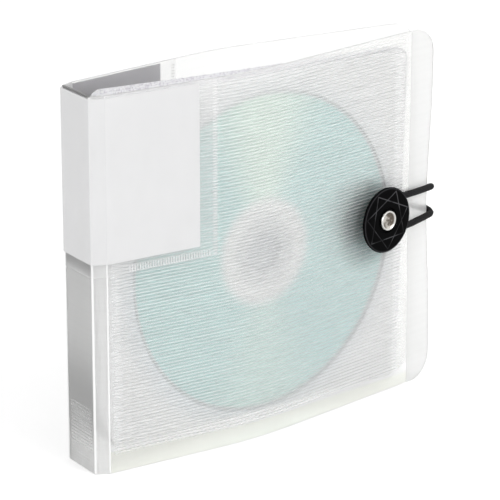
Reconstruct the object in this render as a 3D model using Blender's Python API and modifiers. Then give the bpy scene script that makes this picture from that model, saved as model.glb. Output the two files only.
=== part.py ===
"""A disc wallet: one folded ribbed sheet, a label pocket, bound pocket leaves, a tie button and an elastic loop.

Metres, +Z up. The origin is at the foot of the spine, in the middle of its sheet. +X runs to the
fore-edge, -Y is the front cover's side and +Y is the back cover's side.
"""
import math

import bmesh
import bpy
from mathutils import Matrix, Vector

MM = 0.001

# the disc sets the size of the leaves, and the leaves set the size of the cover
DISC_DIAMETER = 120.0 * MM
PAGE_HEIGHT = DISC_DIAMETER + 9.0 * MM
PAGE_LENGTH = DISC_DIAMETER + 24.0 * MM

# cover sheet
CASE_HEIGHT = PAGE_HEIGHT + 9.0 * MM
SPINE_WIDTH = 18.5 * MM
SHEET = 0.8 * MM
HINGE_STRIP = 5.2 * MM
HINGE_SPLAY = 25.0
CORNER_RADIUS = 10.0 * MM
FOLD_GAP = 0.18 * MM

# how far each hinge strip leads its cover outwards
STRIP_RISE = HINGE_STRIP * math.sin(math.radians(HINGE_SPLAY))

# front cover, walked from its inner score line to the fore-edge, which is tucked in by the loop
FRONT_FLAT = DISC_DIAMETER - 74.0 * MM
FRONT_BEND = 32.0 * MM
FRONT_TAIL = 77.3 * MM
FRONT_TUCK = 8.743 * MM
FRONT_BEND_TURN = math.degrees((FRONT_TUCK + SPINE_WIDTH / 2 + STRIP_RISE) / (FRONT_BEND / 2 + FRONT_TAIL))

# back cover, walked the same way
BACK_FLAT = DISC_DIAMETER - 64.0 * MM
BACK_BEND = 24.0 * MM
BACK_BULGE = 23.675 * MM
BACK_SLOPE = math.degrees((BACK_BULGE - SPINE_WIDTH / 2 - STRIP_RISE) / (BACK_FLAT + BACK_BEND / 2))
BACK_END_SLOPE = 2.9
BACK_BEND_TURN = BACK_SLOPE + BACK_END_SLOPE
BACK_TAIL = 73.2 * MM
BEND_STEPS = 4

# ribs pressed into the outer face
RIB_PITCH = 2.46 * MM
RIB_DEPTH = 0.2 * MM
RIB_MARGIN = 1.6 * MM
RIB_RAMP = 0.5 * MM

# the loop draws the front cover's fore-edge in
PINCH_DEPTH = 2.2 * MM
PINCH_REACH = 30.0 * MM
PINCH_SPREAD = 30.0 * MM
PINCH_ROWS = 12

# clearance between pieces that touch
SEAT = 0.3 * MM

# label and its pocket
LABEL_THICK = 0.25 * MM
FILM_THICK = 0.3 * MM
LABEL_FRONT = 42.9 * MM
LABEL_BACK = 46.5 * MM
LABEL_BOTTOM = CASE_HEIGHT - 60.0 * MM
LABEL_HEAD_GAP = 0.8 * MM
WELD_GAP = 5.1 * MM
WELD_WIDTH = 2.2 * MM
WELD_RAMP = 1.2 * MM
WELD_BOTTOM = LABEL_BOTTOM - 4.5 * MM
WELD_START = 13.0 * MM
CORNER_RELIEF = 0.7 * MM

# leaves
LEAF_COUNT = 6
LEAF_THICK = 0.4 * MM
PAGE_FOOT = 6.2 * MM
PAGE_SAG = 1.5
PAGE_CORNER = 4.0 * MM
NOTCH_DEPTH = 16.0 * MM
NOTCH_REACH = 12.7 * MM
BINDING_THICK = 0.8 * MM
BINDING_WIDTH = 15.2 * MM
LEAF_ROOT_PITCH = 2.4 * MM
FAN_FRONT = -7.2 * MM
FAN_SECOND = -4.7 * MM
FAN_REAR = 7.7 * MM
MIDDLE_SECOND = 3.3 * MM
MIDDLE_REAR = 9.0 * MM
TIP_SECOND = 10.9 * MM
TIP_REAR = 13.3 * MM

# disc and the pocket that holds it
DISC_THICK = 1.2 * MM
DISC_HOLE = 15.0 * MM
DISC_RING = 36.0 * MM
DISC_X = DISC_DIAMETER / 2 + 16.5 * MM
DISC_Y = 0.6 * MM
DISC_RISE = 13.885 * MM
DISC_TURN = math.degrees(math.atan(DISC_RISE / DISC_DIAMETER))
POCKET_WALL = 0.35 * MM
POCKET_SIDE = 1.0 * MM
POCKET_WELD = 2.2 * MM

# button, rivet and washer
BUTTON_FROM_EDGE = 29.6 * MM
BUTTON_HEIGHT = CASE_HEIGHT / 2 + 1.0 * MM
BUTTON_DIAMETER = 25.0 * MM
BUTTON_THICK = 1.5 * MM
BUTTON_RIM = 0.5 * MM
HUB_DIAMETER = 9.0 * MM
HUB_LENGTH = 3.1 * MM
RECESS_DIAMETER = 9.8 * MM
RECESS_DEPTH = 0.5 * MM
RIVET_HEAD = 7.8 * MM
RIVET_DOME = 1.1 * MM
RIVET_SHANK = 3.6 * MM
WASHER_DIAMETER = 13.0 * MM
WASHER_THICK = 0.6 * MM
RIVET_ROLL = 6.0 * MM
RIVET_ROLL_THICK = 0.4 * MM

# elastic loop, its clip and patch
CORD = 2.5 * MM
CLIP_LENGTH = 15.0 * MM
CLIP_HEIGHT = 7.4 * MM
CLIP_THICK = 3.6 * MM
CLIP_FROM_EDGE = 9.0 * MM
CLIP_Z = BUTTON_HEIGHT
STRAND_PITCH = 3.4 * MM
PATCH_LENGTH = 17.0 * MM
PATCH_HEIGHT = 13.0 * MM
PATCH_THICK = 0.4 * MM

FRONT_CORNER = Vector((-SHEET / 2, -SPINE_WIDTH / 2))
BACK_CORNER = Vector((-SHEET / 2, SPINE_WIDTH / 2))


def clear_scene():
    for old in list(bpy.context.scene.objects):
        bpy.data.objects.remove(old, do_unlink=True)


def new_collection(name):
    made = bpy.data.collections.new(name)
    bpy.context.scene.collection.children.link(made)
    return made


def finish(name, colour, roughness, metallic=0.0, alpha=1.0):
    """A piece's own material."""
    material = bpy.data.materials.new(name)
    material.use_nodes = True
    shader = material.node_tree.nodes["Principled BSDF"]
    shader.inputs["Base Color"].default_value = (*colour, 1.0)
    shader.inputs["Roughness"].default_value = roughness
    shader.inputs["Metallic"].default_value = metallic
    shader.inputs["Alpha"].default_value = alpha
    material.diffuse_color = (*colour, alpha)
    return material


def add_object(name, data, collection, material=None, parent=None):
    made = bpy.data.objects.new(name, data)
    collection.objects.link(made)
    if material:
        data.materials.append(material)
    if parent:
        made.parent = parent
        made.matrix_parent_inverse = parent.matrix_world.inverted()
    return made


def add_empty(name, place, collection, turn=None, parent=None):
    made = bpy.data.objects.new(name, None)
    collection.objects.link(made)
    made.empty_display_size = 0.01
    world = Matrix.Translation(place)
    if turn:
        world = world @ turn
    if parent:
        made.parent = parent
        made.matrix_parent_inverse = parent.matrix_world.inverted()
    made.matrix_world = world
    bpy.context.view_layer.update()
    return made


def walk(start, heading, legs):
    """Plan points of a line walked from start: each leg is its length, its turn in degrees and its steps."""
    points = [Vector(start)]
    angle = math.radians(heading)
    for length, turn, steps in legs:
        step_turn = math.radians(turn) / steps
        chord = length / steps
        for _ in range(steps):
            angle += step_turn / 2
            points.append(points[-1] + chord * Vector((math.cos(angle), math.sin(angle))))
            angle += step_turn / 2
    return points


class CoverLine:
    """The cover's outer face in plan, from the front fore-edge round the spine to the back fore-edge.

    A place on the sheet is its distance along this line from the middle of the spine, negative towards the
    front, and its depth inward from the outer face.
    """

    def __init__(self):
        front = walk(
            FRONT_CORNER,
            -HINGE_SPLAY,
            [
                (CORNER_RELIEF, 0.0, 1),
                (HINGE_STRIP - CORNER_RELIEF, 0.0, 1),
                (0.0, HINGE_SPLAY, 1),
                (FRONT_FLAT, 0.0, 1),
                (FRONT_BEND, FRONT_BEND_TURN, BEND_STEPS),
                (FRONT_TAIL, 0.0, 1),
            ],
        )
        back = walk(
            BACK_CORNER,
            HINGE_SPLAY,
            [
                (CORNER_RELIEF, 0.0, 1),
                (HINGE_STRIP - CORNER_RELIEF, 0.0, 1),
                (0.0, BACK_SLOPE - HINGE_SPLAY, 1),
                (BACK_FLAT, 0.0, 1),
                (BACK_BEND, -BACK_BEND_TURN, BEND_STEPS),
                (BACK_TAIL, 0.0, 1),
            ],
        )
        spine = [FRONT_CORNER + Vector((0.0, CORNER_RELIEF)), BACK_CORNER - Vector((0.0, CORNER_RELIEF))]
        self.points = self.without_repeats(front[::-1] + spine + back)
        lengths = [(b - a).length for a, b in zip(self.points, self.points[1:])]
        self.places = [0.0]
        for length in lengths:
            self.places.append(self.places[-1] + length)
        corner = min(range(len(self.points)), key=lambda i: (self.points[i] - FRONT_CORNER).length)
        middle = self.places[corner] + SPINE_WIDTH / 2
        self.places = [place - middle for place in self.places]
        self.inward = [self.mitre(i) for i in range(len(self.points))]
        self.front_end = self.places[0]
        self.back_end = self.places[-1]

    @staticmethod
    def without_repeats(points):
        kept = [points[0]]
        for point in points[1:]:
            if (point - kept[-1]).length > 1e-7:
                kept.append(point)
        return kept

    def normal(self, i):
        """The inward normal of the stretch from point i to point i + 1."""
        along = (self.points[i + 1] - self.points[i]).normalized()
        return Vector((along.y, -along.x))

    def mitre(self, i):
        """The step from outer face to inner face for unit depth at point i."""
        before = self.normal(max(i - 1, 0))
        after = self.normal(min(i, len(self.points) - 2))
        bisector = (before + after).normalized()
        return bisector / bisector.dot(before)

    def at(self, place, depth):
        """The plan point at a place on the sheet."""
        last = len(self.places) - 2
        i = max(0, min(last, sum(1 for p in self.places if p <= place) - 1))
        share = (place - self.places[i]) / (self.places[i + 1] - self.places[i])
        point = self.points[i].lerp(self.points[i + 1], share)
        return point + self.inward[i].lerp(self.inward[i + 1], share) * depth

    def heading(self, place):
        """The inward normal at a place on a straight stretch."""
        a = self.at(place - 0.1 * MM, 0.0)
        b = self.at(place + 0.1 * MM, 0.0)
        along = (b - a).normalized()
        return Vector((along.y, -along.x))

    def folds(self, start, end):
        return [p for p in self.places if start + 1e-6 < p < end - 1e-6]


def slab(start, end, bottom, top, depth, thickness):
    """A flat sheet before it is folded: X along it, Y its depth and Z its height."""
    flat = bmesh.new()
    bmesh.ops.create_cube(flat, size=1.0)
    bmesh.ops.scale(flat, vec=(end - start, thickness, top - bottom), verts=flat.verts)
    middle = ((start + end) / 2, depth + thickness / 2, (bottom + top) / 2)
    bmesh.ops.translate(flat, vec=middle, verts=flat.verts)
    return flat


def round_corners(flat, end, radius):
    """Rounds the two corners of a sheet at its far end."""
    upright = [e for e in flat.edges if all(abs(v.co.x - end) < 1e-6 for v in e.verts) and along_depth(e)]
    bmesh.ops.bevel(
        flat,
        geom=upright,
        offset=radius,
        segments=6,
        profile=0.5,
        affect="EDGES",
        offset_type="OFFSET",
        material=-1,
        clamp_overlap=True,
    )


def along_depth(edge):
    a, b = edge.verts
    return abs(a.co.x - b.co.x) < 1e-6 and abs(a.co.z - b.co.z) < 1e-6


def cut_all(flat, normal, places):
    for place in places:
        parts = flat.verts[:] + flat.edges[:] + flat.faces[:]
        bmesh.ops.bisect_plane(flat, geom=parts, plane_co=Vector(normal) * place, plane_no=normal, dist=1e-7)


def cut_face_rows(flat, rows, depth, low, high):
    """Scores rows across one face of a sheet, between two places along it."""
    for row in rows:
        faces = [
            f
            for f in flat.faces
            if all(abs(v.co.y - depth) < 1e-6 for v in f.verts)
            and low < f.calc_center_median().x < high
            and min(v.co.z for v in f.verts) < row - 1e-6
            and max(v.co.z for v in f.verts) > row + 1e-6
        ]
        edges = {e for f in faces for e in f.edges}
        verts = {v for f in faces for v in f.verts}
        parts = list(verts) + list(edges) + faces
        bmesh.ops.bisect_plane(flat, geom=parts, plane_co=(0, 0, row), plane_no=(0, 0, 1), dist=1e-7)


def fold(flat, line, name, collection, material, parent, extra_depth=None):
    """Folds a flat sheet along the cover's plan line and makes it a piece."""
    for vert in flat.verts:
        place, depth, height = vert.co
        if extra_depth:
            depth += extra_depth(place, depth, height)
        point = line.at(place, depth)
        vert.co = (point.x, point.y, height)
    bmesh.ops.triangulate(flat, faces=[f for f in flat.faces if len(f.verts) > 4])
    bmesh.ops.recalc_face_normals(flat, faces=flat.faces)
    if flat.calc_volume(signed=True) < 0:
        bmesh.ops.reverse_faces(flat, faces=flat.faces)
    mesh = bpy.data.meshes.new(name)
    flat.to_mesh(mesh)
    flat.free()
    return add_object(name, mesh, collection, material, parent)


def rib_rows():
    count = int(CASE_HEIGHT / (RIB_PITCH / 2))
    return [i * RIB_PITCH / 2 for i in range(1, count + 1) if i * RIB_PITCH / 2 < CASE_HEIGHT - 0.2 * MM]


def ribbed_panel(line, start, end, name, collection, material, parent, far_end=None, pinched=False):
    """A stretch of the cover sheet. Its ribs begin a margin away from each score line."""
    flat = slab(start, end, 0.0, CASE_HEIGHT, 0.0, SHEET)
    if far_end is None:
        rib_low = start + RIB_MARGIN
        rib_high = end - RIB_MARGIN
    elif far_end > 0:
        rib_low = SPINE_WIDTH / 2 + HINGE_STRIP + RIB_MARGIN
        rib_high = end
    else:
        rib_low = start
        rib_high = -SPINE_WIDTH / 2 - HINGE_STRIP - RIB_MARGIN
    if far_end is not None:
        round_corners(flat, far_end, CORNER_RADIUS)
    columns = line.folds(start, end)
    columns += [p for p in (rib_low, rib_low + RIB_RAMP, rib_high - RIB_RAMP, rib_high) if start < p < end]
    if pinched:
        columns += [line.front_end + share * PINCH_REACH for share in (0.17, 0.34, 0.67, 1.0)]
    cut_all(flat, (1, 0, 0), sorted(set(columns)))
    rows = rib_rows()
    cut_face_rows(flat, rows, 0.0, rib_low, rib_high)
    if pinched:
        inner_rows = [CASE_HEIGHT * (i + 1) / (PINCH_ROWS + 1) for i in range(PINCH_ROWS)]
        cut_face_rows(flat, inner_rows, SHEET, start, line.front_end + PINCH_REACH)

    open_low = far_end is not None and far_end < 0
    open_high = far_end is not None and far_end > 0

    def extra_depth(place, depth, height):
        extra = pinch(line, place, height) if pinched else 0.0
        step = round(height / (RIB_PITCH / 2))
        on_row = abs(height - step * RIB_PITCH / 2) < 1e-6 and 0 < height < CASE_HEIGHT - 1e-6
        clear_low = open_low or place > rib_low + RIB_RAMP - 1e-6
        clear_high = open_high or place < rib_high - RIB_RAMP + 1e-6
        if depth < 1e-6 and on_row and step % 2 and clear_low and clear_high:
            extra += RIB_DEPTH
        return extra

    return fold(flat, line, name, collection, material, parent, extra_depth)


def pinch(line, place, height):
    """How far the loop draws the front fore-edge in, at a place on the front cover."""
    share = max(0.0, 1.0 - (place - line.front_end) / PINCH_REACH)
    spread = math.exp(-(((height - BUTTON_HEIGHT) / PINCH_SPREAD) ** 2))
    return PINCH_DEPTH * share**2.5 * spread


def ramp(value, low, high):
    return max(0.0, min(1.0, (value - low) / (high - low)))


def label_piece(line, start, end, name, collection, material, parent):
    flat = slab(start, end, LABEL_BOTTOM, CASE_HEIGHT - LABEL_HEAD_GAP, -SEAT - LABEL_THICK, LABEL_THICK)
    cut_all(flat, (1, 0, 0), line.folds(start, end))
    return fold(flat, line, name, collection, material, parent)


def film_piece(line, start, end, name, collection, material, parent, side=0):
    """A stretch of the clear pocket film. Its far edge and its foot are welded down to the cover."""
    stand = 2 * SEAT + LABEL_THICK
    flat = slab(start, end, WELD_BOTTOM, CASE_HEIGHT, -stand - FILM_THICK, FILM_THICK)
    edge = max(abs(start), abs(end))
    columns = line.folds(start, end)
    weld = edge - WELD_WIDTH
    foot = SPINE_WIDTH / 2 + WELD_START
    if side:
        columns += [side * p for p in (weld, weld - WELD_RAMP, foot, foot + WELD_RAMP)]
    cut_all(flat, (1, 0, 0), sorted(set(columns)))
    if side:
        cut_all(flat, (0, 0, 1), [WELD_BOTTOM + WELD_WIDTH, WELD_BOTTOM + WELD_WIDTH + WELD_RAMP])

    def extra_depth(place, depth, height):
        if not side:
            return 0.0
        by_side = ramp(abs(place), weld - WELD_RAMP, weld)
        by_foot = 1.0 - ramp(height, WELD_BOTTOM + WELD_WIDTH, WELD_BOTTOM + WELD_WIDTH + WELD_RAMP)
        by_foot *= ramp(abs(place), foot, foot + WELD_RAMP)
        return (stand - SEAT) * max(by_side, by_foot)

    return fold(flat, line, name, collection, material, parent, extra_depth)


def prism(name, outline, low, high, collection, upright=False):
    """A flat outline made solid: along Z, or along Y where the outline is drawn upright in X and Z."""
    curve = bpy.data.curves.new(name, "CURVE")
    curve.dimensions = "2D"
    curve.fill_mode = "BOTH"
    curve.extrude = (high - low) / 2
    spline = curve.splines.new("POLY")
    spline.points.add(len(outline) - 1)
    for point, (x, y) in zip(spline.points, outline):
        point.co = (x, y, 0.0, 1.0)
    spline.use_cyclic_u = True
    drawn = add_object(name + "_outline", curve, collection)
    if upright:
        drawn.matrix_world = Matrix.Translation((0, (low + high) / 2, 0)) @ Matrix.Rotation(math.radians(90), 4, "X")
    else:
        drawn.matrix_world = Matrix.Translation((0, 0, (low + high) / 2))
    bpy.context.view_layer.update()
    graph = bpy.context.evaluated_depsgraph_get()
    mesh = bpy.data.meshes.new_from_object(drawn.evaluated_get(graph))
    work = bmesh.new()
    work.from_mesh(mesh)
    bmesh.ops.remove_doubles(work, verts=work.verts, dist=1e-7)
    bmesh.ops.transform(work, matrix=drawn.matrix_world, verts=work.verts)
    bmesh.ops.recalc_face_normals(work, faces=work.faces)
    work.to_mesh(mesh)
    work.free()
    mesh.name = name
    bpy.data.objects.remove(drawn, do_unlink=True)
    return mesh


def sagged(x, z):
    """Where a point of an unsagged leaf comes to lie."""
    slope = math.tan(math.radians(PAGE_SAG))
    middle = PAGE_FOOT + PAGE_HEIGHT / 2
    return x + (z - middle) * slope * x / PAGE_LENGTH, z - slope * x


def page_side_outline():
    """The leaves seen from the front: notched at the spine, rounded at the fore-edge."""
    near = SHEET / 2 + SEAT
    top = PAGE_FOOT + PAGE_HEIGHT
    half = [(near - 2 * MM, NOTCH_DEPTH)]
    for along, up in ((0.0, 1.0), (0.12, 0.97), (0.36, 0.66), (0.62, 0.26), (0.8, 0.07), (1.0, 0.0)):
        half.append((near + along * (NOTCH_REACH - near), up * NOTCH_DEPTH))
    corner = []
    for i in range(5):
        angle = math.radians(90 * i / 4)
        x = PAGE_LENGTH - PAGE_CORNER + PAGE_CORNER * math.sin(angle)
        corner.append((x, PAGE_CORNER - PAGE_CORNER * math.cos(angle)))
    foot = [(x, PAGE_FOOT + z) for x, z in half + corner]
    head = [(x, top - z) for x, z in half + corner]
    return [sagged(x, z) for x, z in foot + head[::-1]]


def disc_face(x, offset):
    """Y of a plane parallel to the disc, a distance behind it."""
    turn = math.radians(DISC_TURN)
    return DISC_Y + (x - DISC_X) * math.tan(turn) + offset / math.cos(turn)


def leaf_lines():
    """For each leaf, its front face and its rear face in plan, from the binding outwards."""
    root_x = SHEET / 2 + SEAT + BINDING_THICK
    far_x = PAGE_LENGTH + 3 * MM
    half_pocket = DISC_THICK / 2 + SEAT + POCKET_WALL
    disc_left = DISC_X - DISC_DIAMETER / 2
    disc_right = DISC_X + DISC_DIAMETER / 2
    leaves = []
    for i in range(LEAF_COUNT):
        root_y = (i - (LEAF_COUNT - 1) / 2) * LEAF_ROOT_PITCH
        if i == 0:
            middle = [(root_x, root_y), (6 * MM, (root_y + FAN_FRONT) / 2), (10 * MM, FAN_FRONT)]
            thin = LEAF_THICK / 2
            start = disc_left - POCKET_SIDE
            stop = disc_right + POCKET_SIDE
            front = [(x, y - thin) for x, y in middle]
            rear = [(x, y + thin) for x, y in middle]
            front += [(start, disc_face(start, -half_pocket)), (stop, disc_face(stop, -half_pocket))]
            rear += [(start, disc_face(start, half_pocket)), (stop, disc_face(stop, half_pocket))]
            tip = disc_face(stop + 4 * MM, 0.9 * MM)
            front += [(stop + 4 * MM, tip - thin), (far_x, tip - thin + 0.6 * MM)]
            rear += [(stop + 4 * MM, tip + thin), (far_x, tip + thin + 0.6 * MM)]
        else:
            share = (i - 1) / (LEAF_COUNT - 2)
            fan = FAN_SECOND + share * (FAN_REAR - FAN_SECOND)
            mid = MIDDLE_SECOND + share * (MIDDLE_REAR - MIDDLE_SECOND)
            tip = TIP_SECOND + share * (TIP_REAR - TIP_SECOND)
            middle = [(root_x, root_y), (6 * MM, (root_y + fan) / 2), (NOTCH_REACH, fan)]
            for k in range(1, 7):
                t = k / 6
                x = NOTCH_REACH + t * (far_x - NOTCH_REACH)
                y = fan * (1 - t) * (1 - 2 * t) + mid * 4 * t * (1 - t) + tip * t * (2 * t - 1)
                middle.append((x, y))
            front = [(x, y - LEAF_THICK / 2) for x, y in middle]
            rear = [(x, y + LEAF_THICK / 2) for x, y in middle]
        leaves.append((front, rear))
    return leaves


def page_plan_outline():
    """The bound leaves seen from above, as one comb."""
    near = SHEET / 2 + SEAT
    root_x = near + BINDING_THICK
    half = BINDING_WIDTH / 2
    outline = [(near, half), (near, -half), (root_x, -half)]
    for front, rear in leaf_lines():
        outline += front + rear[::-1]
    outline.append((root_x, half))
    return outline


def pocket_outline():
    """The first leaf's pocket seen from above."""
    half = DISC_THICK / 2 + SEAT
    left = DISC_X - DISC_DIAMETER / 2 - SEAT
    right = DISC_X + DISC_DIAMETER / 2 + SEAT
    return [
        (left, disc_face(left, -half)),
        (right, disc_face(right, -half)),
        (right, disc_face(right, half)),
        (left, disc_face(left, half)),
    ]


def boolean(target, operation, cutter):
    modifier = target.modifiers.new(operation.lower() + "_" + cutter.name, "BOOLEAN")
    modifier.operation = operation
    modifier.solver = "EXACT"
    modifier.object = cutter
    return modifier


def hide_cutter(cutter):
    cutter.hide_render = True
    cutter.display_type = "WIRE"
    return cutter


def make_pages(collection, cutters, material):
    plan = prism("pages", page_plan_outline(), -2 * MM, CASE_HEIGHT + 6 * MM, collection)
    pages = add_object("pages", plan, collection, material)
    side = prism("page_side", page_side_outline(), -30 * MM, 40 * MM, cutters, upright=True)
    boolean(pages, "INTERSECT", hide_cutter(add_object("page_side", side, cutters)))
    floor = PAGE_FOOT + POCKET_WELD
    pocket = prism("page_pocket", pocket_outline(), floor, CASE_HEIGHT + 20 * MM, cutters)
    work = bmesh.new()
    work.from_mesh(pocket)
    for vert in work.verts:
        vert.co.z -= math.tan(math.radians(PAGE_SAG)) * vert.co.x
    work.to_mesh(pocket)
    work.free()
    boolean(pages, "DIFFERENCE", hide_cutter(add_object("page_pocket", pocket, cutters)))
    return pages


def turned(name, profile, steps, collection, material, frame, parent):
    """A turned piece: its profile of radius and height is swept round the frame's Z axis."""
    mesh = bpy.data.meshes.new(name)
    work = bmesh.new()
    verts = [work.verts.new((radius, 0.0, height)) for radius, height in profile]
    for a, b in zip(verts, verts[1:]):
        work.edges.new((a, b))
    if profile[0][0] > 0 and profile[-1][0] > 0:
        work.edges.new((verts[-1], verts[0]))
    work.to_mesh(mesh)
    work.free()
    made = add_object(name, mesh, collection, material)
    made.parent = parent
    made.matrix_parent_inverse = parent.matrix_world.inverted()
    made.matrix_world = frame
    screw = made.modifiers.new("turn", "SCREW")
    screw.axis = "Z"
    screw.steps = steps
    screw.render_steps = steps
    screw.use_merge_vertices = True
    screw.merge_threshold = 0.000001
    screw.use_smooth_shade = True
    return made


def arc(centre_r, centre_h, radius, start, end, steps):
    """Profile points on an arc, from one angle to another in degrees, 0 pointing outwards."""
    points = []
    for i in range(steps + 1):
        angle = math.radians(start + (end - start) * i / steps)
        points.append((centre_r + radius * math.cos(angle), centre_h + radius * math.sin(angle)))
    return points


def make_disc(collection, material, parent):
    floor = PAGE_FOOT + POCKET_WELD - math.tan(math.radians(PAGE_SAG)) * DISC_X
    place = Vector((DISC_X, DISC_Y, floor + SEAT + DISC_DIAMETER / 2))
    turn = Matrix.Rotation(math.radians(DISC_TURN), 4, "Z") @ Matrix.Rotation(math.radians(90), 4, "X")
    frame = Matrix.Translation(place) @ turn
    half = DISC_THICK / 2
    outer = DISC_DIAMETER / 2
    hole = DISC_HOLE / 2
    bevel = 0.25 * MM
    ring = DISC_RING / 2
    profile = [
        (hole, half),
        (ring - 0.4 * MM, half),
        (ring, half - 0.15 * MM),
        (ring + 0.4 * MM, half),
        (outer - bevel, half),
        (outer, half - bevel),
        (outer, -half + bevel),
        (outer - bevel, -half),
        (hole, -half),
    ]
    return turned("disc", profile, 64, collection, material, frame, parent)


def panel_frame(line, place, depth, height, outward=True):
    """A frame on the cover whose Z points out of it, or into the case."""
    point = line.at(place, depth)
    inward = line.heading(place)
    z_axis = Vector((-inward.x, -inward.y, 0.0)) if outward else Vector((inward.x, inward.y, 0.0))
    y_axis = Vector((0.0, 0.0, 1.0))
    x_axis = y_axis.cross(z_axis)
    turn = Matrix((x_axis, y_axis, z_axis)).transposed().to_4x4()
    return Matrix.Translation((point.x, point.y, height)) @ turn


def make_button(collection, materials, line, parent):
    """The button with its hub, the rivet through both, and the washer inside the cover."""
    place = line.front_end + BUTTON_FROM_EDGE
    frame = panel_frame(line, place, 0.0, BUTTON_HEIGHT)
    bore = RIVET_SHANK / 2 + SEAT / 2
    rim = BUTTON_DIAMETER / 2
    hub = HUB_DIAMETER / 2
    low = SEAT + HUB_LENGTH
    top = low + BUTTON_THICK
    floor = top - RECESS_DEPTH
    recess = RECESS_DIAMETER / 2
    profile = [(bore, floor), (recess - 0.3 * MM, floor), (recess, top)]
    profile += [(rim - 3 * MM, top), (rim - 1.6 * MM, top - 0.1 * MM)]
    profile += arc(rim - BUTTON_RIM, top - 0.15 * MM - BUTTON_RIM, BUTTON_RIM, 90, 0, 3)
    profile += [(rim - 0.2 * MM, low + 0.2 * MM), (rim - 0.9 * MM, low)]
    profile += [(hub + 0.6 * MM, low), (hub, low - 0.6 * MM), (hub, SEAT), (bore, SEAT)]
    turned("button", profile, 40, collection, materials["button"], frame, parent)
    head = RIVET_HEAD / 2
    shank = RIVET_SHANK / 2
    under = floor + SEAT
    end = -SHEET - SEAT - WASHER_THICK - SEAT
    roll = RIVET_ROLL / 2
    dome = [(0.0, under + RIVET_DOME), (head * 0.35, under + RIVET_DOME * 0.93)]
    dome += [(head * 0.68, under + RIVET_DOME * 0.7), (head * 0.92, under + RIVET_DOME * 0.35), (head, under)]
    tail = [(shank, under), (shank, end), (roll, end), (roll - 0.2 * MM, end - RIVET_ROLL_THICK)]
    tail += [(shank * 0.7, end - RIVET_ROLL_THICK), (shank * 0.5, end - 0.2 * MM), (0.0, end - 0.2 * MM)]
    turned("rivet", dome + tail, 24, collection, materials["rivet"], frame, parent)
    outer = WASHER_DIAMETER / 2
    near = -SHEET - SEAT
    far = near - WASHER_THICK
    washer = [(bore, near), (outer, near), (outer, far + 0.3 * MM), (outer - 0.3 * MM, far), (bore, far)]
    turned("button_washer", washer, 32, collection, materials["washer"], frame, parent)
    return frame


def drill(target, frame, radius, cutters, name):
    """A hole through a piece along a frame's Z axis."""
    mesh = bpy.data.meshes.new(name)
    work = bmesh.new()
    bmesh.ops.create_cone(work, cap_ends=True, segments=20, radius1=radius, radius2=radius, depth=20 * MM)
    work.to_mesh(mesh)
    work.free()
    cutter = add_object(name, mesh, cutters)
    cutter.matrix_world = frame
    boolean(target, "DIFFERENCE", hide_cutter(cutter))


def smooth_route(points, spacing):
    """Points read from a smooth curve through a route's own points."""
    route = [points[0]] + points + [points[-1]]
    read = [points[0]]
    for a, b, c, d in zip(route, route[1:], route[2:], route[3:]):
        steps = max(1, round((c - b).length / spacing))
        for k in range(1, steps + 1):
            t = k / steps
            bend = (2 * a - 5 * b + 4 * c - d) * t * t + (3 * b - a - 3 * c + d) * t**3
            read.append(0.5 * (2 * b + (c - a) * t + bend))
    return read


def loop_route(line, hub_frame, clip_frame):
    """The elastic from the clip, round the front fore-edge, behind the button and back to the clip."""
    hug = CORD / 2 + 0.25 * MM
    reach = HUB_DIAMETER / 2 + CORD / 2 + SEAT
    edge = line.front_end
    drawn = pinch(line, edge, BUTTON_HEIGHT + reach)
    tip = line.at(edge, SHEET / 2 + drawn)
    inward = line.heading(edge + 1 * MM)
    away = Vector((inward.y, -inward.x))
    round_edge = []
    for degrees in (10, 50, 90, 130, 170):
        angle = math.radians(degrees)
        round_edge.append(tip + (SHEET / 2 + hug) * (inward * math.cos(angle) + away * math.sin(angle)))
    for d in (4 * MM, 9 * MM, 14 * MM):
        round_edge.append(line.at(edge + d, pinch(line, edge + d, BUTTON_HEIGHT + reach) - hug))
    hub = []
    for degrees in (90, 60, 30, 0, -30, -60, -90):
        angle = math.radians(degrees)
        hub.append(hub_frame @ Vector((-reach * math.cos(angle), reach * math.sin(angle), hug)))
    strands = []
    for side in (1, -1):
        strand = [clip_frame @ Vector((x, side * STRAND_PITCH / 2, 0.0)) for x in (-1 * MM, 3 * MM, CLIP_LENGTH / 2)]
        strand += [Vector((*p, BUTTON_HEIGHT + side * reach)) for p in round_edge]
        strands.append(strand)
    return strands[0] + hub + strands[1][::-1]


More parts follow.
